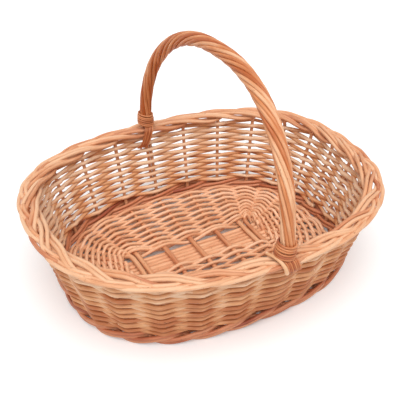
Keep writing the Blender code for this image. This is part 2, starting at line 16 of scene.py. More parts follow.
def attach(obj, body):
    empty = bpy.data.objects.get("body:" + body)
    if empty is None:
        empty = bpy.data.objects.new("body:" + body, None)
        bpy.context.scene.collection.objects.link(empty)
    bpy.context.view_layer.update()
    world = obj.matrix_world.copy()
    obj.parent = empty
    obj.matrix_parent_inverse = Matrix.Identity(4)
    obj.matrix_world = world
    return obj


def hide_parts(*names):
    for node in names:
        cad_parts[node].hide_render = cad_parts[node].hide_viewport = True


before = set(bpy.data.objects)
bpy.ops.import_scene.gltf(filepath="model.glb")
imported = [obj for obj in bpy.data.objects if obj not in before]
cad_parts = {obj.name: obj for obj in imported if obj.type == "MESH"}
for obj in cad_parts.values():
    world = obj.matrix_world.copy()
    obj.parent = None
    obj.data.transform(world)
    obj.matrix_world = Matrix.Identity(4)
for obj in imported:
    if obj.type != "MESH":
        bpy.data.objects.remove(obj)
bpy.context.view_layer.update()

log = logging.getLogger("basket")

Span = tuple[float, float]
Triple = tuple[float, float, float]
Colour = tuple[float, float, float, float]
Socket = bpy.types.NodeSocket
Tree = bpy.types.NodeTree

# Places round the basket are counted in stakes. The tongues of the hoop go down beside these two.
STAKES = 26
MID_BACK = 6
MID_FRONT = 19
BACK_SHARE = 0.100
FRONT_SHARE = 0.035
TONGUE_PLACES = (MID_BACK + BACK_SHARE, MID_FRONT + FRONT_SHARE)

# How finely the way round the basket is measured.
ARC_STEPS = 2880

# Where each rod lies in the noise of its finish: room to start in, steps aside, and the scale on a cut end.
GRAIN_ROOM = 50
GRAIN_ASIDE = (3.7, 5.3)
CUT_GRAIN = 10


def lerp(first: float, last: float, share: float) -> float:
    """Value part of the way between two others."""
    return first + (last - first) * share


def signed_power(value: float, power: float) -> float:
    """Power of a number's size that keeps its sign."""
    return math.copysign(abs(value) ** power, value)


def stakes_apart(stake: float, other: float) -> float:
    """How far a place is past another the short way round, counted in stakes."""
    return (stake - other + STAKES / 2) % STAKES - STAKES / 2


def smooth_path(points: list[Vector], steps: int) -> list[Vector]:
    """Rounds a line of points with a Catmull-Rom curve through them.

    Args:
        points: Places that the line goes through.
        steps: Pieces that each stretch is cut into.

    Returns:
        The finer line, with the same first and last place.
    """
    ends = [points[0] * 2 - points[1], *points, points[-1] * 2 - points[-2]]
    out = []
    for a, b, c, d in zip(ends, ends[1:], ends[2:], ends[3:]):
        for step in range(steps):
            t = step / steps
            bend = b * 2 + (c - a) * t + (a * 2 - b * 5 + c * 4 - d) * t**2
            out.append((bend + (b * 3 - a - c * 3 + d) * t**3) / 2)
    out.append(points[-1].copy())
    return out


def smooth_values(values: list[float], steps: int) -> list[float]:
    """Straight-line values that go with smooth_path's finer points.

    Args:
        values: Value at each place that the line goes through.
        steps: Pieces that each stretch is cut into.

    Returns:
        One value for each point of the finer line.
    """
    out = []
    for before, after in zip(values, values[1:]):
        out += [lerp(before, after, step / steps) for step in range(steps)]
    return [*out, values[-1]]


def wired(tree: Tree, kind: str, inputs: dict[str | int, object], output: str, **settings: object) -> Socket:
    """Adds a shader node with its settings and inputs.

    Args:
        tree: Tree that the node is added to.
        kind: The kind of node, without the ShaderNode that its full name starts with.
        inputs: Socket to link or value to set, by the name or number of each input.
        output: Name of the output that is wanted.
        settings: The node's own settings, such as its operation.

    Returns:
        The wanted output.
    """
    node = tree.nodes.new("ShaderNode" + kind)
    for label, value in settings.items():
        setattr(node, label, value)
    for label, value in inputs.items():
        if isinstance(value, Socket):
            tree.links.new(value, node.inputs[label])
        else:
            node.inputs[label].default_value = value
    return node.outputs[output]


def ranged(tree: Tree, value: Socket, lows: Span, highs: Span = (0.0, 1.0)) -> Socket:
    """Value moved from one range to another, with its ends held."""
    ends = {"From Min": lows[0], "From Max": lows[1], "To Min": highs[0], "To Max": highs[1]}
    return wired(tree, "MapRange", {"Value": value, **ends}, "Result")


def combined(tree: Tree, kind: str, first: Socket, second: Socket | float) -> Socket:
    """Sum or product of a socket and another socket or a number."""
    return wired(tree, "Math", {0: first, 1: second}, "Value", operation=kind)


def mixed(tree: Tree, kind: str, share: Socket, first: Socket, second: Socket | Colour) -> Socket:
    """Colour mixed with another by a share."""
    inputs = {"Factor": share, "A": first, "B": second}
    return wired(tree, "Mix", inputs, "Result", data_type="RGBA", blend_type=kind)


def shader_parts(name: str) -> tuple[bpy.types.Material, Tree, bpy.types.Node]:
    """New material with its tree and its shader."""
    made = bpy.data.materials.new(name)
    made.use_nodes = True
    return made, made.node_tree, made.node_tree.nodes["Principled BSDF"]


def placed(name: str, data: bpy.types.ID) -> bpy.types.Object:
    """New object in the scene."""
    made = bpy.data.objects.new(name, data)
    bpy.context.scene.collection.objects.link(made)
    return made


class Bark(Enum):
    """Named willow finishes."""

    PALE = "peeled_pale"
    WARM = "peeled_warm"
    TAN = "peeled_tan"
    RED = "peeled_red"
    BROWN = "peeled_brown"
    HANDLE = "peeled_handle"


@dataclass(frozen=True)
class Noise:
    """One noise of the bark: scale along the rod and across it, detail, range used and what it gives."""

    scale: Triple
    detail: float
    lows: Span
    highs: Span


@dataclass(frozen=True)
class WillowSkin:
    """Effect that the finishes share: patches, streaks, scratches and knots."""

    patches: Noise = Noise((22, 60, 60), 2.0, (0.3, 0.7), (-0.30, 0.30))
    streaks: Noise = Noise((60, 1500, 1500), 3.0, (0.35, 0.65), (-0.14, 0.14))
    scratches: Noise = Noise((180, 3600, 3600), 2.0, (0.36, 0.50), (0.30, 0.0))
    knots: Noise = Noise((260, 620, 620), 1.0, (0.70, 0.78), (0.0, 0.75))
    streak_roughness: Span = (-0.06, 0.10)
    scratch_depth: float = 0.5
    scratch_colour: Colour = (0.72, 0.58, 0.46, 1)
    knot_colour: Colour = (0.42, 0.26, 0.18, 1)

    def group(self) -> Tree:
        """Gives the effect, built on its first use.

        Returns:
            A shader node group that puts out a colour, a roughness and a height.
        """
        if "willow_skin" in bpy.data.node_groups:
            return bpy.data.node_groups["willow_skin"]
        tree = bpy.data.node_groups.new("willow_skin", "ShaderNodeTree")
        for way, kind, labels in (
            ("INPUT", "Vector", ("Grain",)),
            ("INPUT", "Color", ("Light", "Middle", "Deep")),
            ("INPUT", "Float", ("Tint", "Roughness")),
            ("OUTPUT", "Color", ("Color",)),
            ("OUTPUT", "Float", ("Roughness", "Height")),
        ):
            for label in labels:
                tree.interface.new_socket(label, in_out=way, socket_type="NodeSocket" + kind)
        given, out = tree.nodes.new("NodeGroupInput").outputs, tree.nodes.new("NodeGroupOutput")

        def made(kind: Noise) -> tuple[Socket, Socket]:
            """Noise drawn out along the rod by unlike scales, and what it gives."""
            place = wired(tree, "Mapping", {"Vector": given["Grain"], "Scale": kind.scale}, "Vector")
            noise = wired(tree, "TexNoise", {"Vector": place, "Scale": 1.0, "Detail": kind.detail}, "Fac")
            return noise, ranged(tree, noise, kind.lows, kind.highs)

        streaks, streaky = made(self.streaks)
        scratches, scratched = made(self.scratches)
        shade = combined(tree, "ADD", combined(tree, "ADD", given["Tint"], made(self.patches)[1]), streaky)
        colour = mixed(tree, "MIX", ranged(tree, shade, (0.0, 0.5)), given["Light"], given["Middle"])
        colour = mixed(tree, "MIX", ranged(tree, shade, (0.5, 1.0)), colour, given["Deep"])
        colour = mixed(tree, "MULTIPLY", made(self.knots)[1], colour, self.knot_colour)
        colour = mixed(tree, "MULTIPLY", scratched, colour, self.scratch_colour)
        rough = ranged(tree, streaks, self.streaks.lows, self.streak_roughness)
        rough = combined(tree, "ADD", given["Roughness"], rough)
        height = combined(tree, "ADD", streaks, combined(tree, "MULTIPLY", scratches, self.scratch_depth))
        for label, socket in (("Color", colour), ("Roughness", rough), ("Height", height)):
            tree.links.new(socket, out.inputs[label])
        return tree


@dataclass(frozen=True)
class WillowFinish:
    """Peeled willow: three shades, streaks along the rod, small knots and a soft gloss."""

    bark: Bark
    light: Triple
    middle: Triple
    deep: Triple
    roughness: float = 0.42
    gloss: float = 0.45
    bump_strength: float = 0.35
    bump_depth: float = 0.0003

    def material(self) -> bpy.types.Material:
        """Gives the finish, built on its first use.

        Returns:
            A material that reads the grain and tint attributes of a bundle of rods.
        """
        if self.bark.value in bpy.data.materials:
            return bpy.data.materials[self.bark.value]
        made, tree, shader = shader_parts(self.bark.value)
        skin = tree.nodes.new("ShaderNodeGroup")
        skin.node_tree = WillowSkin().group()
        for label, colour in (("Light", self.light), ("Middle", self.middle), ("Deep", self.deep)):
            skin.inputs[label].default_value = (*colour, 1)
        skin.inputs["Roughness"].default_value = self.roughness
        tree.links.new(wired(tree, "Attribute", {}, "Vector", attribute_name="grain"), skin.inputs["Grain"])
        tree.links.new(wired(tree, "Attribute", {}, "Fac", attribute_name="tint"), skin.inputs["Tint"])
        colour, rough, height = skin.outputs
        relief = {"Strength": self.bump_strength, "Distance": self.bump_depth, "Height": height}
        tree.links.new(colour, shader.inputs["Base Color"])
        tree.links.new(rough, shader.inputs["Roughness"])
        tree.links.new(wired(tree, "Bump", relief, "Normal"), shader.inputs["Normal"])
        shader.inputs["Specular IOR Level"].default_value = self.gloss
        return made


@dataclass(frozen=True)
class CutEnd:
    """Plain pale wood of a cut rod end, with fine noise in its colour."""

    shades: tuple[Colour, Colour] = ((0.62, 0.36, 0.18, 1), (0.90, 0.68, 0.44, 1))
    roughness: float = 0.75
    pores: float = 900.0

    def material(self) -> bpy.types.Material:
        """Gives the finish, built on its first use.

        Returns:
            The material.
        """
        if "willow_cut_end" in bpy.data.materials:
            return bpy.data.materials["willow_cut_end"]
        made, tree, shader = shader_parts("willow_cut_end")
        shader.inputs["Roughness"].default_value = self.roughness
        place = wired(tree, "TexCoord", {}, "Object")
        ramp = tree.nodes.new("ShaderNodeValToRGB")
        for element, shade in zip(ramp.color_ramp.elements, self.shades):
            element.color = shade
        pores = wired(tree, "TexNoise", {"Vector": place, "Scale": self.pores}, "Fac")
        tree.links.new(pores, ramp.inputs["Fac"])
        tree.links.new(ramp.outputs["Color"], shader.inputs["Base Color"])
        return made


FINISHES = {
    finish.bark: finish
    for finish in (
        WillowFinish(Bark.PALE, (0.90, 0.55, 0.35), (0.83, 0.45, 0.25), (0.64, 0.26, 0.12)),
        WillowFinish(Bark.WARM, (0.83, 0.50, 0.30), (0.75, 0.365, 0.185), (0.53, 0.175, 0.075)),
        WillowFinish(Bark.TAN, (0.87, 0.60, 0.40), (0.74, 0.37, 0.170), (0.50, 0.165, 0.055)),
        WillowFinish(Bark.RED, (0.70, 0.31, 0.16), (0.54, 0.175, 0.075), (0.31, 0.065, 0.026)),
        WillowFinish(Bark.BROWN, (0.66, 0.26, 0.105), (0.54, 0.175, 0.062), (0.38, 0.09, 0.030)),
        WillowFinish(Bark.HANDLE, (0.85, 0.50, 0.29), (0.67, 0.255, 0.095), (0.46, 0.11, 0.022)),
    )
}


@dataclass
class Rod:
    """One rod: the line of its middle, its radius and its shade, darker towards one, at each point."""

    points: list[Vector]
    radii: list[float]
    tints: list[float]


@dataclass(frozen=True)
class Growth:
    """Bends and swellings of real willow: the lengths in which they come and how strong they are."""

    bend: float = 0.021
    sweep: float = 0.047
    upward_rate: float = 0.8
    short_swell: float = 0.011
    long_swell: float = 1.7
    short_share: float = 0.025
    long_share: float = 0.035

    def applied(self, rod: Rod, waver: float, chance: random.Random) -> Rod:
        """Gives a rod its small bends and swellings.

        Args:
            rod: The rod as its weave places it.
            waver: How far it strays.
            chance: Source of its own random phases.

        Returns:
            The rod with its places and radii changed a little.
        """
        phases = [chance.uniform(0, math.tau) for _ in range(6)]
        walked, points, radii = 0.0, [], []
        for index, point in enumerate(rod.points):
            if index:
                walked += (point - rod.points[index - 1]).length
            a, b = walked / self.bend, walked / self.sweep
            third = math.sin(a * self.upward_rate + phases[2])
            aside = Vector((math.sin(a + phases[0]), math.sin(b + phases[1]), third))
            points.append(point + aside * waver)
            swell = self.short_share * math.sin(walked / self.short_swell + phases[3])
            swell += self.long_share * math.sin(b * self.long_swell + phases[4])
            radii.append(rod.radii[index] * (1 + swell))
        return Rod(points, radii, rod.tints)


@dataclass
class Bundle:
    """Piece made of rods that share a finish and stand for one or more nodes."""

    name: str
    nodes: tuple[str, ...]
    bark: Bark
    slot: str
    seed: int
    sides: int = 10
    waver: float = 0.00022
    weld: float = 0.000002
    rods: list[Rod] = field(default_factory=list)

    def add(self, points: list[Vector], radii: Span, tint: float | list[float], steps: int = 5) -> Rod:
        """Adds a tapering rod through some places.

        Args:
            points: Places that the rod's middle goes through.
            radii: Radius at the first and at the last place.
            tint: Shade of the whole rod or at each place, from light at zero to deep at one.
            steps: Pieces that each stretch is cut into.

        Returns:
            The rod, whose radii may still be changed.
        """
        count = len(points)
        sizes = [lerp(*radii, index / (count - 1)) for index in range(count)]
        tints = tint if isinstance(tint, list) else [tint] * count
        rod = Rod(smooth_path(points, steps), smooth_values(sizes, steps), smooth_values(tints, steps))
        self.rods.append(rod)
        return rod

    def build(self) -> bpy.types.Object:
        """Makes the bundle's mesh, dresses it and hands it to the frame.

        Returns:
            The finished object, at the origin, in place of its nodes.
        """
        chance = random.Random(self.seed)
        curve = bpy.data.curves.new(self.name, "CURVE")
        curve.dimensions, curve.twist_mode = "3D", "MINIMUM"
        curve.bevel_depth, curve.bevel_resolution, curve.use_fill_caps = 1.0, (self.sides - 4) // 2, True
        rods = [Growth().applied(rod, self.waver, chance) for rod in self.rods]
        for rod in rods:
            spline = curve.splines.new("POLY")
            spline.points.add(len(rod.points) - 1)
            spline.points.foreach_set("co", np.array([(*point, 1.0) for point in rod.points]).ravel())
            spline.points.foreach_set("radius", np.array(rod.radii))
        source = placed(self.name + "_line", curve)
        bpy.context.view_layer.update()
        mesh = bpy.data.meshes.new_from_object(source.evaluated_get(bpy.context.evaluated_depsgraph_get()))
        bpy.data.objects.remove(source)
        self.write_grain(mesh, rods, chance)
        self.close_ends(mesh)
        mesh.name = self.name
        mesh.materials.clear()
        mesh.materials.append(FINISHES[self.bark].material())
        mesh.materials.append(CutEnd().material())
        piece = placed(self.name, mesh)
        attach(piece, "root")
        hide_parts(*self.nodes)
        log.info("%s: %d rods, %d faces", self.name, len(rods), len(mesh.polygons))
        return piece

    def write_grain(self, mesh: bpy.types.Mesh, rods: list[Rod], chance: random.Random) -> None:
        """Stores where each vertex lies on its own rod, as if the rod were straight, and its shade.

        Args:
            mesh: Mesh of the bundle, ring after ring in the order of the rods.
            rods: The rods that made it.
            chance: Source of each rod's own place in the noise.
        """
        count = len(mesh.vertices)
        places = np.zeros(count * 3)
        mesh.vertices.foreach_get("co", places)
        places = places.reshape(-1, 3)
        grain, tint = np.zeros((count, 3)), np.zeros(count)
        centres = np.concatenate([np.array([tuple(point) for point in rod.points]) for rod in rods])
        walked = []
        for rod in rods:
            start, total = chance.uniform(0, GRAIN_ROOM), 0.0
            for index, point in enumerate(rod.points):
                total += (point - rod.points[index - 1]).length if index else 0.0
                walked.append((start + total, start * GRAIN_ASIDE[0], start * GRAIN_ASIDE[1]))
        walked = np.array(walked)
        shades = np.concatenate([np.array(rod.tints) for rod in rods])
        caps = count - len(centres) * self.sides
        ring = np.repeat(np.arange(len(centres)), self.sides)
        turn = np.tile(np.arange(self.sides), len(centres)) * (math.tau / self.sides)
        radius = np.linalg.norm(places[caps:] - centres[ring], axis=1)
        grain[caps:, 0] = walked[ring, 0]
        grain[caps:, 1] = walked[ring, 1] + radius * np.cos(turn)
        grain[caps:, 2] = walked[ring, 2] + radius * np.sin(turn)
        tint[caps:] = shades[ring]
        grain[:caps] = places[:caps] * CUT_GRAIN
        for label, kind, values in (("grain", "FLOAT_VECTOR", grain.ravel()), ("tint", "FLOAT", tint)):
            layer = mesh.attributes.new(label, kind, "POINT")
            layer.data.foreach_set("vector" if kind == "FLOAT_VECTOR" else "value", values)

    def close_ends(self, mesh: bpy.types.Mesh) -> None:
        """Joins each end face to its rod and gives it the cut finish.

        Args:
            mesh: Mesh of the bundle, with end faces as fans of triangles.
        """
        shape = bmesh.new()
        shape.from_mesh(mesh)
        for face in shape.faces:
            end = len(face.verts) == 3
            face.material_index = 1 if end else 0
            face.smooth = not end
        rim_verts = list({vert for edge in shape.edges if edge.is_boundary for vert in edge.verts})
        bmesh.ops.remove_doubles(shape, verts=rim_verts, dist=self.weld)
        for edge in shape.edges:
            edge.smooth = len({face.material_index for face in edge.link_faces}) < 2
        bmesh.ops.recalc_face_normals(shape, faces=shape.faces)
        shape.to_mesh(mesh)
        shape.free()


@dataclass(frozen=True)
class BasketForm:
    """Shape of the basket as the solids have it: ovals of foot and rim, stake places and levels."""

    rim_length: float = 0.420
    rim_width: float = 0.3524
    rim_power: float = 2.48
    foot_length: float = 0.3442
    foot_width: float = 0.2674
    foot_power: float = 2.58
    rim_level: float = 0.1094
    foot_level: float = 0.0063
    border_half: float = 0.0135
    rim_turn: float = -0.0244
    rim_shift: Vector = Vector((0.0028, -0.0024, 0.0))
    foot_shift: Vector = Vector((0.0057, 0.0021, 0.0))
    centre_shift: Vector = Vector((-0.002608, 0.004641, 0.0))
    front_drift: float = 0.20
    back_drift: float = 0.70
    end_rise: float = 0.0030
    both_ends_rise: float = 0.0023
    front_rise: float = 0.0018
    corner_rise: float = 0.0016

    def oval(self, angle: float, length: float, width: float, power: float) -> tuple[Vector, Vector]:
        """Point and outward direction on a squarish oval.

        Args:
            angle: Angle on the oval.
            length: Half of its length.
            width: Half of its width.
            power: How square it is.

        Returns:
            The point and the outward direction.
        """
        c, s = math.cos(angle), math.sin(angle)
        point = Vector((length * signed_power(c, 2 / power), width * signed_power(s, 2 / power), 0))
        bend = 2 - 2 / power
        out = Vector((signed_power(c, bend) / length, signed_power(s, bend) / width, 0))
        return point, out.normalized()

    def ovals_at(self, level: float) -> tuple[float, float, float, float]:
        """Oval of the stake line at a level.

        Args:
            level: Height on an even basket.

        Returns:
            Share of the wall's height, half length, half width and power.
        """
        share = (level - self.foot_level) / (self.rim_level - self.foot_level)
        length = lerp(self.foot_length / 2, self.rim_length / 2 - self.border_half, share)
        width = lerp(self.foot_width / 2, self.rim_width / 2 - self.border_half, share)
        return share, length, width, lerp(self.foot_power, self.rim_power, share)

    def arcs(self) -> tuple[list[float], list[float]]:
        """Measures the way round, half way up the wall, on its first use.

        Returns:
            Angles on the oval, and the share of the way round at each.
        """
        if not ARC_CACHE:
            _, length, width, power = self.ovals_at((self.foot_level + self.rim_level) / 2)
            angles = [math.tau * step / ARC_STEPS for step in range(ARC_STEPS + 1)]
            points = [self.oval(angle, length, width, power)[0] for angle in angles]
            arcs = [0.0]
            for before, after in zip(points, points[1:]):
                arcs.append(arcs[-1] + (after - before).length)
            ARC_CACHE.extend((angles, [arc / arcs[-1] for arc in arcs]))
        return ARC_CACHE[0], ARC_CACHE[1]

    def stake_angle(self, stake: float) -> float:
        """Angle on the ovals of a place, with the stakes unevenly spaced as in the photograph.

        Args:
            stake: Place round the basket, counted in stakes.

        Returns:
            The angle, which grows past a full turn with the place.
        """
        angles, shares = self.arcs()
        around = math.tau * (stake + 0.5) / STAKES
        back, front = 0.5 + 0.5 * math.sin(around), 0.5 - 0.5 * math.sin(around)
        drift = self.front_drift * front - self.back_drift * math.cos(around) * back
        share = (stake + 0.5 + drift) / STAKES
        turns = math.floor(share)
        at = min(bisect.bisect_right(shares, share - turns) - 1, len(angles) - 2)
        inside = (share - turns - shares[at]) / (shares[at + 1] - shares[at])
        return turns * math.tau + lerp(angles[at], angles[at + 1], inside)

    def on_wall(self, stake: float, level: float, out: float = 0.0) -> Vector:
        """Place on the flaring wall.

        Args:
            stake: Place round the basket, counted in stakes.
            level: Height on an even basket, in metres.
            out: Distance outwards from the line of the stakes.

        Returns:
            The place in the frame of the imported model.
        """
        angle = self.stake_angle(stake)
        share, length, width, power = self.ovals_at(level)
        point, normal = self.oval(angle, length, width, power)
        point += normal * out
        point.rotate(Matrix.Rotation(self.rim_turn * share, 3, "Z"))
        point += self.foot_shift.lerp(self.rim_shift, share) + self.centre_shift
        rise = self.end_rise * math.cos(angle) + self.both_ends_rise * math.cos(2 * angle)
        rise += -self.front_rise * math.sin(angle) + self.corner_rise * math.sin(2 * angle)
        point.z = level + rise * max(share, 0)
        return point

    def above_rim(self, stake: float, level: float, out: float) -> Vector:
        """Place straight above or below the border's middle line."""
        point = self.on_wall(stake, self.rim_level, out)
        point.z += level - self.rim_level
        return point

    def rim_spacing(self, stake: float) -> float:
        """Distance from stake to stake along the rim, round a place."""
        return (self.on_wall(stake + 0.5, self.rim_level) - self.on_wall(stake - 0.5, self.rim_level)).length


ARC_CACHE: list[list[float]] = []
FORM = BasketForm()


@dataclass
class Floor:
    """Stick lattice of the base and the two rods woven through it."""

    middle: float = 0.0084
    stick: float = 0.0029
    stick_swell: float = 1.03
    stick_end: float = 0.0022
    even_share: float = 0.3
    long_sticks: int = 6
    cross_sticks: int = 7
    cross_pitch: float = 0.0367
    pair_gap: float = 0.0081
    pitch: float = 0.0067
    margin: float = 0.0005
    layer_gap: float = 0.00015
    settle: float = 0.15
    stops: tuple[float, ...] = (0.74, 0.55, 0.35, 0.15, 0.0)
    long_tints: Span = (0.0, 0.7)
    cross_tints: Span = (0.45, 0.8)
    rows: int = 20
    first: float = 0.012
    first_spacing: float = 0.0095
    last_gap: float = 0.0102
    gather: float = 1.10
    level_ribs: tuple[int, int] = (8, 13)
    weaver: float = 0.0022
    weaver_ends: Span = (1.08, 0.9)
    weaver_tints: Span = (0.05, 0.65)
    reach: float = 0.0042
    steepest: float = 1.5
    lengths: tuple[int, int] = (9, 16)
    ground_gap: float = 0.0006

    def rank(self, index: int) -> int:
        """Ribs counted from the middle of the side that they are on."""
        wrapped = index % STAKES
        return (MID_BACK - wrapped) if wrapped < STAKES / 2 else (wrapped - MID_FRONT)

    def ends(self, index: int) -> tuple[Vector, Vector]:
        """Ends of a floor rib, which is half of a stick.

        Args:
            index: The stake that the rib runs out to.

        Returns:
            Its inner end at the lattice, and its outer end at the wall.
        """
        outer = FORM.on_wall(index, FORM.foot_level)
        side = 1 if index < STAKES / 2 else -1
        rank = self.rank(index)
        half_width = self.pitch * self.long_sticks / 2 + self.margin
        if abs(rank) <= self.cross_sticks // 2:
            place = min(abs(rank), 2) * self.cross_pitch + (self.pair_gap if abs(rank) > 2 else 0.0)
            inner = Vector((math.copysign(place, rank), side * half_width, self.middle))
        else:
            end = 1 if outer.x > FORM.foot_shift.x else -1
            order = abs(rank) - self.cross_sticks // 2
            half_length = 2 * self.cross_pitch + self.pair_gap + self.stick + self.margin
            across = side * self.pitch * (self.long_sticks / 2 - order + 0.5)
            inner = Vector((end * half_length, across, self.middle))
        return inner + FORM.centre_shift, outer

    def rib(self, index: int, share: float) -> Vector:
        """Place on a floor rib, which leaves its layer of the lattice and settles into one level.

        Args:
            index: The stake that the rib runs out to.
            share: How far out the place is.

        Returns:
            The place.
        """
        inner, outer = self.ends(index % STAKES)
        point = inner.lerp(outer, share)
        lift = (self.stick + self.layer_gap) * (1 if abs(self.rank(index)) <= self.cross_sticks // 2 else -1)
        point.z = lerp(self.middle, FORM.foot_level, share) + lift * (1 - min(share / self.settle, 1))
        return point

    def rib_length(self, index: int) -> float:
        """Length of a rib, seen from above."""
        return (self.rib(index, 1) - self.rib(index, 0)).xy.length

    def spacing(self, index: int, share: float) -> float:
        """Distance to the nearer neighbouring rib."""
        here = self.rib(index, share)
        return min((self.rib(index + step, share) - here).xy.length for step in (-1, 1))

    def first_share(self, index: int) -> float:
        """Finds where the first row crosses a rib: as near the lattice as its neighbours leave room.

        Args:
            index: The stake that the rib runs out to.

        Returns:
            The share of the rib's length.
        """
        share = self.first
        while share < 1 and self.spacing(index, share) < self.first_spacing:
            share += self.first / 4
        return share

    def build(self) -> None:
        """Makes the sticks and the two woven rods of the floor."""
        chance = random.Random(5)
        nodes = tuple(f"long_stick_{number + 1}" for number in range(self.long_sticks))
        long = Bundle("floor_long_sticks", nodes, Bark.PALE, "willow_pale", 11)
        for number in range(-(self.long_sticks // 2), self.long_sticks - self.long_sticks // 2):
            self.add_stick(long, number % STAKES, STAKES // 2 - 1 - number, chance.uniform(*self.long_tints))
        long.build()
        nodes = tuple(f"cross_stick_{number + 1}" for number in range(self.cross_sticks))
        cross = Bundle("floor_cross_sticks", nodes, Bark.WARM, "willow_warm", 12)
        for place in range(-(self.cross_sticks // 2), self.cross_sticks // 2 + 1):
            self.add_stick(cross, MID_BACK - place, MID_FRONT + place, chance.uniform(*self.cross_tints))
        cross.build()
        for number, begin in enumerate((0, STAKES // 2)):
            self.weave(number, begin)

    def add_stick(self, bundle: Bundle, start: int, end: int, tint: float) -> None:
        """Adds one stick, thick in the middle and thin at both ends.

        Args:
            bundle: The sticks that it goes with.
            start: Stake at one end.
            end: Stake at the other end.
            tint: Its shade.
        """
        points = [self.rib(start, share) for share in self.stops]
        points += [self.rib(end, share) for share in reversed(self.stops)]
        rod = bundle.add(points, (self.stick, self.stick), tint, steps=6)
        half = (len(rod.points) - 1) / 2
        for index in range(len(rod.points)):
            away = max(0.0, (abs(index - half) / half - self.even_share) / (1 - self.even_share))
            rod.radii[index] = lerp(self.stick * self.stick_swell, self.stick_end, away)

    def weave(self, number: int, begin: int) -> None:
        """Makes one of the two rods woven through the ribs, as many shorter lengths.

        Args:
            number: Which of the two it is.
            begin: Rib at which it starts.
        """
        chance = random.Random(40 + number)
        nodes = (f"floor_weaver_{number + 1}",)
        bundle = Bundle(f"floor_weave_{number + 1}", nodes, Bark.PALE, "willow_pale", 21 + number)
        total = STAKES * self.rows // 2
        thick, thin = (self.weaver * share for share in self.weaver_ends)
        points = []
        for index in range(begin, begin + total + 1):
            wound = (index - begin - self.level_ribs[0]) / (total - sum(self.level_ribs))
            last = 1 - self.last_gap / self.rib_length(index)
            share = lerp(self.first_share(index), last, min(max(wound, 0.0), 1.0) ** self.gather)
            lean = 1 - (2 * self.reach / self.spacing(index, share)) ** 2
            rise = self.reach / math.sqrt(max(lean, self.steepest**-2))
            point = self.rib(index, share)
            point.z = max(point.z + (rise if (index - begin) % 2 else -rise), thick + self.ground_gap)
            points.append(point)
        start = 0
        while start < total - 4:
            stop = min(total, start + chance.randrange(*self.lengths))
            bundle.add(points[start : stop + 1], (thick, thin), chance.uniform(*self.weaver_tints))
            start = stop - 1
        bundle.build()


@dataclass
class FootWale:
    """Three strands of two rods, twined round the foot: outside two stakes, inside the third."""

    radius: float = 0.0023
    thin_end: float = 0.96
    reach: float = 0.0053
    inside: Span = (0.0076, 0.0124)
    low: Span = (0.0025, 0.0069)
    high: Span = (0.0102, 0.0148)
    ground_gap: float = 0.0004
    tints: Span = (0.05, 0.85)

    def build(self) -> None:
        """Makes the three strands."""
        chance = random.Random(9)
        for number in range(3):
            name = f"foot_wale_strand_{number + 1}"
            nodes = (f"foot_wale_{number + 1}",)
            bundle = Bundle(name, nodes, Bark.RED, "willow_red", 31 + number, waver=0.00012)
            for inside, low, high in zip(self.inside, self.low, self.high):
                places = ((-self.reach, inside), (self.reach, low), (self.reach, high))
                points = []
                for index in range(-1, STAKES + 1):
                    out, level = places[(index + number) % 3]
                    points.append(FORM.on_wall(index, level, out))
                radii = (self.radius, self.radius * self.thin_end)
                for point in bundle.add(points, radii, chance.uniform(*self.tints), steps=8).points:
                    point.z = max(point.z, self.radius + self.ground_gap)
            bundle.build()


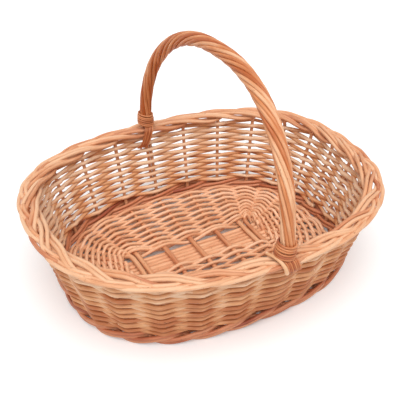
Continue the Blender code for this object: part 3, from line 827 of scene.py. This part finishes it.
@dataclass
class Wall:
    """Stakes with their plaited border of two rods a strand, and the rods woven round the wall.

    Each place of the upright is a level and a distance outwards. Outer and inner tints are painted shade and
    painted light. They are added to a rod's tint outside and inside the wall, the first in the line of the
    stakes and the second furthest from it, so the rods are drawn deeper outside the wall and paler inside it.
    """

    stake: float = 0.0023
    tip: float = 0.0024
    foot_share: float = 0.72
    foot_gap: float = 0.0004
    heel_gap: float = 0.0087
    upright: tuple[Span, ...] = (
        (0.0034, -0.0046),
        (0.0046, -0.0006),
        (0.0098, 0.0),
        (0.03, 0.0),
        (0.055, 0.0),
        (0.08, 0.0),
        (0.0965, 0.0),
        (0.1005, -0.00115),
    )
    # Partly painted shade: on average the stakes' upright parts are tinted deeper than their plait.
    upright_tints_with_painted_shade: Span = (0.35, 0.65)
    plait_tints: Span = (0.0, 0.75)
    plait_width: float = 0.0079
    plait_out: float = 0.0008
    plait_height: float = 0.0022
    plait_cross: float = 0.0019
    plait_flat: float = 0.54
    plait_narrow: float = 0.22
    narrow_stakes: float = 4.5
    plait_stakes: int = 4
    plait_rods: Span = (0.0025, -0.0025)
    plait_start: float = math.radians(200.0)
    plait_first: float = 0.25
    plait_aside: Span = (-0.0003, 0.0004)
    plait_lag: Span = (-0.06, 0.06)
    steps: int = 12
    nudge_stakes: float = 0.32
    nudge_out: float = 0.0020
    nudges: Span = (-0.0022, 0.0014)
    weaver: float = 0.0025
    weaver_ends: Span = (1.1, 0.90)
    sunk: float = 0.0003
    turn_share: float = 0.19
    crossing_share: float = 0.58
    rows: int = 19
    bottom: float = 0.0174
    top: float = 0.1016
    handle_middle: float = 0.08
    handle_turns: Span = (-0.11, 0.11)
    loose_out: Span = (-0.0002, 0.0005)
    loose_level: Span = (-0.0007, 0.0007)
    rod_level: Span = (-0.0006, 0.0006)
    lengths: tuple[int, int] = (13, 24)
    weaver_tints: Span = (0.80, 0.10)
    tint_power: float = 0.7
    tint_spread: Span = (-0.25, 0.25)
    # Painted shade outside the wall and painted light inside it: tints added to each wall rod on either side.
    outer_painted_shade: Span = (0.56, 0.32)
    inner_painted_light: Span = (-0.02, -0.16)

    def nudged(self, stake: float, out: float) -> float:
        """Rods of the plait step aside where the handle passes down between them.

        Args:
            stake: Place round the basket, counted in stakes.
            out: Distance outwards as the plait has it.

        Returns:
            The distance outwards that leaves room.
        """
        for place in TONGUE_PLACES:
            near = math.exp(-((stakes_apart(stake, place) / self.nudge_stakes) ** 2))
            side = min(max((out - self.nudge_out) / self.nudge_out, -1), 1)
            out += near * lerp(*self.nudges, 0.5 + 0.5 * side)
        return out

    def plait_point(self, stake: float, phase: float, aside: float) -> Vector:
        """Place of one rod in the plait: from an edge it crosses over, to one it dives under.

        Args:
            stake: Place round the basket, counted in stakes.
            phase: How far through its turn the strand is.
            aside: Distance of the rod from the middle of its strand.

        Returns:
            The place.
        """
        s, c, flat = math.sin(phase), math.cos(phase), self.plait_flat
        narrow = self.plait_narrow * math.exp(-((stakes_apart(stake, MID_FRONT) / self.narrow_stakes) ** 2))
        width = self.plait_width * (1 - narrow)
        rate = math.tau / self.plait_stakes / FORM.rim_spacing(stake)
        slope = width * c * (1 + flat - 3 * flat * s * s) * rate
        out = self.plait_out + self.plait_width * narrow + width * s * (1 + flat * (1 - s * s))
        level = FORM.rim_level - self.plait_height * 2 * s * c + self.plait_cross * c
        return FORM.on_wall(stake, level, self.nudged(stake, out + aside * math.hypot(1, slope)))

    def stake_points(self, floor: Floor, index: int, chance: random.Random) -> list[Vector]:
        """Line of a stake: foot in the floor, bend, way up the wall, then two turns of the plait.

        Args:
            floor: The floor that it starts in.
            index: Which stake it is.
            chance: Source of how loosely its two turns lie.

        Returns:
            The places that it goes through.
        """
        length = floor.rib_length(index)
        points = [floor.rib(index, self.foot_share + self.foot_gap / length)]
        points.append(floor.rib(index, 1 - self.heel_gap / length))
        points += [FORM.on_wall(index, level, out) for level, out in self.upright]
        rods = []
        for aside in self.plait_rods:
            rods.append((aside + chance.uniform(*self.plait_aside), chance.uniform(*self.plait_lag)))
        for step in range(len(rods) * self.steps):
            turned = (step + self.plait_first) / self.steps
            aside, lag = rods[step // self.steps]
            phase = self.plait_start + math.tau * turned + lag
            points.append(self.plait_point(index + self.plait_stakes * turned, phase, aside))
        return points

    def build(self, floor: Floor) -> None:
        """Makes the stakes and the two woven rods of the wall.

        Args:
            floor: The floor that the stakes start in.
        """
        chance = random.Random(77)
        below = len(self.upright) + 2
        for index in range(STAKES):
            name = f"stake_{index + 1:02d}"
            bundle = Bundle("rod_" + name, (name,), Bark.WARM, "willow_warm", 100 + index)
            points = self.stake_points(floor, index, chance)
            # The upright part is drawn a little deeper than the plait: partly the rod's own tone, partly
            # painted shade from the wall.
            upright, plaited = chance.uniform(*self.upright_tints_with_painted_shade), chance.uniform(*self.plait_tints)
            tints = [upright] * (below - 1) + [(upright + plaited) / 2]
            tints += [plaited] * (len(points) - below)
            bundle.add(points, (self.stake, self.tip), tints, steps=4)
            bundle.build()
        for number, begin in enumerate((0, STAKES // 2)):
            self.weave(number, begin)

    def weave(self, number: int, begin: int) -> None:
        """Makes one of the two rods woven round the wall, as many shorter lengths.

        Args:
            number: Which of the two it is.
            begin: Stake at which it starts.
        """
        chance = random.Random(60 + number)
        nodes = (f"wall_weaver_{number + 1}",)
        bundle = Bundle(f"wall_weave_{number + 1}", nodes, Bark.TAN, "willow_tan", 51 + number)
        total = STAKES * self.rows // 2 - number
        thick, thin = (self.weaver * share for share in self.weaver_ends)
        start = begin
        while start < begin + total - 4:
            stop = min(begin + total, start + chance.randrange(*self.lengths))
            shift = chance.uniform(*self.rod_level)
            wound = ((start - begin) / total) ** self.tint_power
            tint = lerp(*self.weaver_tints, wound) + chance.uniform(*self.tint_spread)
            points, tints = self.weave_points(range(start, stop + 1), begin, shift, tint, chance)
            bundle.add(points, (thick, thin), tints, steps=3)
            start = stop - 1
        bundle.build()

    def weave_points(
        self, stakes: range, begin: int, shift: float, tint: float, chance: random.Random
    ) -> tuple[list[Vector], list[float]]:
        """Line of one length of rod in the wall, with painted shade outside the wall and painted light inside
        it.

        Args:
            stakes: The stakes that it passes.
            begin: Stake at which the whole woven rod starts, and its rows with it.
            shift: How much higher this length lies than its row.
            tint: Its own shade.
            chance: Source of how loosely it lies at each stake.

        Returns:
            The places that it goes through, and the tint at each, with its painted shade or light.
        """
        pitch = (self.top - self.bottom) / self.rows
        reach = self.stake + self.weaver - self.sunk
        points, tints = [], []
        for index in stakes:
            handle = index % STAKES in (MID_BACK, MID_FRONT)
            side = 1 if (index - begin) % 2 else -1
            middle = self.handle_middle if handle else 0.0
            tops = self.handle_turns if handle else (0.0,)
            offset = reach + chance.uniform(*self.loose_out)
            rise = shift + chance.uniform(*self.loose_level)
            steps = [(tops[0] - self.turn_share, self.crossing_share), *((top, 1.0) for top in tops)]
            steps.append((tops[-1] + self.turn_share, self.crossing_share))
            for step, share in steps:
                at = index + middle + step
                level = self.bottom + pitch * 2 * (at - begin) / STAKES + rise
                points.append(FORM.on_wall(at, level, side * offset * share))
                # Painted shade outside the wall adds depth to the rod's tint. Painted light inside halves its
                # tint and makes it paler.
                outside = tint + lerp(*self.outer_painted_shade, share)
                tints.append(outside if side > 0 else tint * 0.5 + lerp(*self.inner_painted_light, share))
        return points, tints


@dataclass(frozen=True)
class Lashing:
    """Thin rods laid side by side over the border and down the wall at one foot.

    Each place is a distance outwards, a level and a share of the slant. Every second rod may cross
    higher, and the lower ends may be uneven.
    """

    name: str
    seed: int
    place: float
    slant: float
    over: tuple[Triple, ...]
    down: tuple[Triple, ...]
    tints: tuple[float, ...]
    crossed: float = 0.0
    uneven: float = 0.0
    pitch: float = 0.0021
    radii: Span = (0.00102, 0.00098)

    def build(self) -> None:
        """Makes the rods."""
        names = f"foot_lashing_{self.name}", (f"lashing_{self.name}",)
        bundle = Bundle(*names, Bark.BROWN, "willow_brown", self.seed, sides=8, waver=0.0001)
        spacing = FORM.rim_spacing(self.place)
        for number, tint in enumerate(self.tints):
            stake = self.place + (number - (len(self.tints) - 1) / 2) * self.pitch / spacing
            lifts = [0.0] * (len(self.over) + len(self.down))
            lifts[1], lifts[-1] = self.crossed * (number % 2), self.uneven * (number % 3)
            points = []
            for step, (out, level, share) in enumerate(self.over + self.down):
                where = FORM.above_rim if step < len(self.over) else FORM.on_wall
                points.append(where(stake + self.slant * share, level + lifts[step], out))
            bundle.add(points, self.radii, tint)
        bundle.build()


@dataclass
class Handle:
    """Hoop core, ten rods wound round it, foot bindings, lashings and the stub beside the front foot.

    Hoop outs and the binding's starts, tints and asides are for the back foot, then the front foot.
    Rod starts, girth shares and tint rises run from the front foot to the back one. Waves and stains
    of the binding are a strength and a rate.
    """

    top: float = 0.2718
    power: float = 2.31
    apex: Vector = Vector((0.0191, -0.0085, 0.0))
    hoop_outs: Span = (-0.0040, 0.0052)
    core: float = 0.0046
    core_start: float = 0.1180
    core_steps: int = 40
    core_tint: float = 0.8
    core_rounding: int = 3
    probe: float = 0.01
    tongue: float = 0.0022
    tongue_line: tuple[Span, ...] = (
        (0.036, 0.0),
        (0.070, 0.0),
        (0.0988, 0.0),
        (0.1051, 0.0020),
        (0.1160, 0.0020),
    )
    rod: float = 0.0021
    rod_starts: Span = (0.1165, 0.1195)
    rod_seat: float = 0.93
    rod_steps: int = 96
    turns: float = 2.9
    ease: float = 0.25
    girths: Span = (0.88, 0.97)
    girth_shares: Span = (0.22, 0.25)
    strand_tints: tuple[float, ...] = (0.0, 0.5, 0.2, 0.6, 0.1)
    band_tint: float = 0.1
    swings: Span = (-0.06, 0.06)
    swing_rate: float = 9
    tint_rises: Span = (0.32, 0.24)
    binding: float = 0.00125
    binding_seat: float = 0.95
    belly: float = 0.0005
    slack: float = 0.0010
    waves: Span = (0.0004, 2.1)
    stains: Span = (0.40, 5)
    loops: int = 6
    loop_steps: int = 24
    binding_pitch: float = 0.0028
    binding_starts: Span = (0.1188, 0.1158)
    binding_tints: Span = (0.10, 0.35)
    binding_asides: tuple[Vector, Vector] = (Vector((0.0004, 0.0, 0.0)), Vector((-0.0026, 0.0010, 0.0)))
    binding_tilt: Vector = Vector((0.884, -0.468, 0.0)) * 0.0024
    peg: Span = (0.0017, 0.0023)
    peg_tint: float = 0.25
    peg_line: tuple[Triple, ...] = (
        (18.640, 0.1165, -0.0062),
        (18.710, 0.1172, 0.0025),
        (18.775, 0.1160, 0.0110),
        (18.840, 0.1112, 0.0165),
        (18.885, 0.1040, 0.0178),
    )
    lashings: tuple[Lashing, Lashing] = (
        Lashing(
            name="back",
            seed=96,
            place=TONGUE_PLACES[0] - 0.05,
            slant=0.26,
            over=(
                (-0.0104, 0.1180, 0.0),
                (-0.0133, 0.1180, 0.1),
                (-0.0169, 0.1140, 0.25),
                (-0.0173, 0.1039, 0.5),
            ),
            down=((-0.0137, 0.0965, 0.7), (-0.0092, 0.0905, 0.9), (-0.0060, 0.0865, 1.0)),
            tints=(0.1, 0.8, 0.3, 0.9, 0.2, 0.6),
            crossed=0.0003,
            uneven=0.0010,
        ),
        Lashing(
            name="front",
            seed=95,
            place=TONGUE_PLACES[1] + 0.03,
            slant=0.09,
            over=(
                (0.0085, 0.1150, -0.6),
                (0.0125, 0.1148, -0.4),
                (0.0153, 0.1125, -0.1),
                (0.0165, 0.1045, 0.5),
            ),
            down=((0.0143, 0.0985, 1.0), (0.0105, 0.0950, 1.1), (0.0060, 0.0925, 1.2)),
            tints=(0.1, 0.8, 0.3, 0.9, 0.2, 0.6, 0.4),
        ),
    )

    def arch(self, turn: float) -> Vector:
        """Middle line of the hoop, a squarish arch whose top leans towards the apex.

        Args:
            turn: Zero at the front foot and half a turn at the back foot.

        Returns:
            The place.
        """
        feet = zip(TONGUE_PLACES, self.hoop_outs)
        back, front = (FORM.on_wall(place, FORM.rim_level, out) for place, out in feet)
        c, s = math.cos(turn), math.sin(turn)
        point = front.lerp(back, 0.5 - 0.5 * signed_power(c, 2 / self.power))
        level = lerp(point.z, self.top, abs(s) ** (2 / self.power))
        point += (self.apex + FORM.centre_shift - front.lerp(back, 0.5)) * (s * s)
        point.z = level
        return point

    def arch_turn(self, level: float, far: bool) -> float:
        """Turn at which the hoop reaches a level.

        Args:
            level: The level, in metres.
            far: True on the side of the back foot.

        Returns:
            The turn.
        """
        foot = FORM.on_wall(TONGUE_PLACES[0 if far else 1], FORM.rim_level)
        turn = math.asin(((level - FORM.rim_level) / (self.top - foot.z)) ** (self.power / 2))
        return math.pi - turn if far else turn

    def girth(self, share: float) -> float:
        """Girth of the wrapped hoop, which is slimmer at both feet."""
        return lerp(*self.girths, min(share / self.girth_shares[0], (1 - share) / self.girth_shares[1], 1))

    def ring(self, turn: float, angle: float, radius: float) -> Vector:
        """Place round the hoop.

        Args:
            turn: How far along the hoop it is.
            angle: Zero across the hoop, and a quarter turn away from its middle.
            radius: Distance from the hoop's middle line.

        Returns:
            The place.
        """
        along = (self.arch(turn + self.probe) - self.arch(turn - self.probe)).normalized()
        across = Vector((1, 0, 0))
        across = (across - along * across.dot(along)).normalized()
        away = along.cross(across)
        return self.arch(turn) + (across * math.cos(angle) + away * math.sin(angle)) * radius

    def build(self) -> None:
        """Makes every piece of the handle."""
        self.build_core()
        self.build_wraps()
        for far, lashing in zip((True, False), self.lashings):
            self.build_binding(lashing.name, far)
            lashing.build()
        self.build_peg()

    def build_core(self) -> None:
        """Makes the hoop rod with its two tongues."""
        bundle = Bundle("hoop_core", ("handle_core",), Bark.BROWN, "willow_brown", 71, waver=0.0)
        start, end = (self.arch_turn(self.core_start, far) for far in (False, True))
        line = self.tongue_line
        back, front = ([FORM.on_wall(at, level, out) for level, out in line] for at in TONGUE_PLACES)
        hoop = [self.arch(lerp(start, end, step / self.core_steps)) for step in range(self.core_steps + 1)]
        points = front + hoop + back[::-1]
        radii, tints = [self.tongue] * len(points), [0.0] * len(points)
        for index in range(len(front), len(front) + len(hoop)):
            radii[index], tints[index] = self.core, self.core_tint
        steps = self.core_rounding
        rod = Rod(smooth_path(points, steps), smooth_values(radii, steps), smooth_values(tints, steps))
        bundle.rods.append(rod)
        bundle.build()

    def build_wraps(self) -> None:
        """Makes the ten rods wound side by side round the core, left-handed, faster over the top."""
        chance = random.Random(3)
        start, end = (self.arch_turn(level, far) for level, far in zip(self.rod_starts, (False, True)))
        for band in range(2):
            name, nodes = f"hoop_wrap_rods_{band + 1}", (f"handle_wrap_{band + 1}",)
            bundle = Bundle(name, nodes, Bark.HANDLE, "willow_warm", 81 + band, sides=12, waver=0.00012)
            for number, base in enumerate(self.strand_tints):
                points, tints = [], []
                swing = chance.uniform(*self.swings)
                place = number / len(self.strand_tints) / 2 + band / 2
                for step in range(self.rod_steps + 1):
                    share = step / self.rod_steps
                    eased = share - self.ease * math.sin(math.tau * share) / math.tau
                    angle = swing * math.sin(self.swing_rate * share)
                    angle -= math.tau * (self.turns * eased + place)
                    radius = (self.core + self.rod * self.rod_seat) * self.girth(share)
                    points.append(self.ring(lerp(start, end, share), angle, radius))
                    rises = (min(share / 0.5, 1), max(share - 0.5, 0))
                    deeper = sum(rise * way for rise, way in zip(self.tint_rises, rises))
                    tints.append(base + self.band_tint * band + deeper)
                rod = bundle.add(points, (self.rod, self.rod), tints, steps=2)
                last = len(rod.radii) - 1
                rod.radii = [self.rod * self.girth(at / last) for at in range(last + 1)]
            bundle.build()

    def build_binding(self, name: str, far: bool) -> None:
        """Makes the thin rod wound round one foot, looser and further aside in its lower loops.

        Args:
            name: Which foot, for the names.
            far: True for the back foot.
        """
        names = f"foot_binding_{name}", (f"binding_{name}",)
        bundle = Bundle(*names, Bark.BROWN, "willow_brown", 91 + far, sides=8, waver=0.00008)
        foot = 0 if far else 1
        points, tints = [], []
        for index in range(self.loops * self.loop_steps + 1):
            turned = index / self.loop_steps
            level = self.binding_starts[foot] + self.binding_pitch * turned
            level += self.waves[0] * math.sin(turned * self.waves[1] + far)
            loose = 1 - turned / self.loops
            centre = self.arch(self.arch_turn(level, far)) + self.binding_asides[foot] * loose
            reach = (self.core + 2 * self.rod) * self.girth(0.0) + self.binding * self.binding_seat
            reach += self.belly * math.sin(math.pi * turned / self.loops) + self.slack * loose
            way = Vector((math.cos(math.tau * turned), math.sin(math.tau * turned), 0))
            points.append(centre + way * reach - Vector((0, 0, way.dot(self.binding_tilt))))
            tints.append(self.binding_tints[foot] + self.stains[0] * math.sin(turned * self.stains[1]))
        bundle.add(points, (self.binding, self.binding * self.binding_seat), tints, steps=1)
        bundle.build()

    def build_peg(self) -> None:
        """Makes the stub of rod that lies across the border beside the front foot."""
        bundle = Bundle("border_peg", ("rim_peg",), Bark.TAN, "willow_red", 99, sides=12)
        bundle.add([FORM.above_rim(*place) for place in self.peg_line], self.peg, self.peg_tint)
        bundle.build()


@dataclass
class Studio:
    """Pale floor, soft light and the photograph's camera."""

    azimuth: float = math.radians(-27.889)
    elevation: float = math.radians(33.593)
    distance: float = 0.8430
    lens: float = 60.43
    sensor: float = 36.0
    clip: Span = (0.01, 50.0)
    target: Vector = Vector((0.0170, 0.0287, 0.0619))
    floor_size: float = 12.0
    floor_grey: float = 0.86
    floor_roughness: float = 0.9
    floor_gloss: float = 0.1
    floor_painted_glow: float = 0.22
    foot_oval: Triple = (0.172, 0.134, 1.0)
    foot_edge: Span = (0.96, 1.04)
    sun: float = 2.45
    sun_width: float = math.radians(65)
    sun_side: Vector = Vector((-0.22, -0.42, 1.0))
    world: Span = (0.48, 1.0)

    def build(self) -> None:
        """Places the floor, the light, the world and the camera."""
        self.build_floor()
        self.build_light()
        self.build_camera()

    def build_floor(self) -> None:
        """Makes a wide plain floor, which looks white to the camera but not under the basket. A faint glow
        that only the camera sees, outside the basket's foot, is painted light that lightens the basket's cast
        shadow there.
        """
        shape = bmesh.new()
        bmesh.ops.create_grid(shape, x_segments=1, y_segments=1, size=self.floor_size)
        mesh = bpy.data.meshes.new("studio_floor")
        shape.to_mesh(mesh)
        shape.free()
        floor = placed("studio_floor", mesh)
        made, tree, shader = shader_parts("studio_white")
        shader.inputs["Base Color"].default_value = (self.floor_grey, self.floor_grey, self.floor_grey, 1)
        shader.inputs["Roughness"].default_value = self.floor_roughness
        shader.inputs["Specular IOR Level"].default_value = self.floor_gloss
        shader.inputs["Emission Color"].default_value = (1, 1, 1, 1)
        # Painted light: a glow for camera rays only, none under the basket's foot and rising outside it,
        # which lightens the cast shadow.
        shrink = {"Vector": wired(tree, "TexCoord", {}, "Object")}
        shrink["Scale"] = [1 / side for side in self.foot_oval]
        shrunk = wired(tree, "Mapping", shrink, "Vector")
        away = wired(tree, "VectorMath", {0: shrunk}, "Value", operation="LENGTH")
        lift = ranged(tree, away, self.foot_edge, (0.0, self.floor_painted_glow))
        lift = combined(tree, "MULTIPLY", self.seen_directly(tree), lift)
        tree.links.new(lift, shader.inputs["Emission Strength"])
        mesh.materials.append(made)

    def seen_directly(self, tree: Tree) -> Socket:
        """Adds the share of rays that show the background and don't light the basket.

        Args:
            tree: Nodes of the floor or of the world.

        Returns:
            One for camera, mirror and clear glass rays, otherwise zero.
        """
        path = tree.nodes.new("ShaderNodeLightPath").outputs
        seen = path["Is Camera Ray"]
        for kind in ("Is Glossy Ray", "Is Transmission Ray"):
            seen = wired(tree, "Math", {0: seen, 1: path[kind]}, "Value", operation="ADD", use_clamp=True)
        return seen

    def build_light(self) -> None:
        """Makes one broad soft sun and an even pale world."""
        sun = bpy.data.lights.new("softbox", "SUN")
        sun.energy = self.sun
        sun.angle = self.sun_width
        placed("softbox", sun).rotation_euler = self.sun_side.to_track_quat("Z", "Y").to_euler()
        world = bpy.data.worlds.new("studio")
        world.use_nodes = True
        tree = world.node_tree
        shown = ranged(tree, self.seen_directly(tree), (0.0, 1.0), self.world)
        tree.nodes["Background"].inputs["Color"].default_value = (1, 1, 1, 1)
        tree.links.new(shown, tree.nodes["Background"].inputs["Strength"])
        bpy.context.scene.world = world

    def build_camera(self) -> None:
        """Makes the camera that the photograph was taken with."""
        right = Vector((math.cos(self.azimuth), math.sin(self.azimuth), 0))
        across, up = math.cos(self.elevation), math.sin(self.elevation)
        back = Vector((math.sin(self.azimuth) * across, -math.cos(self.azimuth) * across, up))
        camera = bpy.data.cameras.new("camera")
        camera.lens, camera.sensor_width, camera.sensor_fit = self.lens, self.sensor, "HORIZONTAL"
        camera.clip_start, camera.clip_end = self.clip
        holder = placed("camera", camera)
        turn = Matrix((right, back.cross(right), back)).transposed().to_4x4()
        place = self.target + FORM.centre_shift + back * self.distance
        holder.matrix_world = Matrix.Translation(place) @ turn
        bpy.context.scene.camera = holder
        bpy.context.scene.view_settings.view_transform = "Standard"


def main() -> None:
    """Builds the basket and its studio."""
    logging.basicConfig(level=logging.INFO)
    floor = Floor()
    floor.build()
    FootWale().build()
    Wall().build(floor)
    Handle().build()
    Studio().build()


if __name__ == "__main__":
    main()
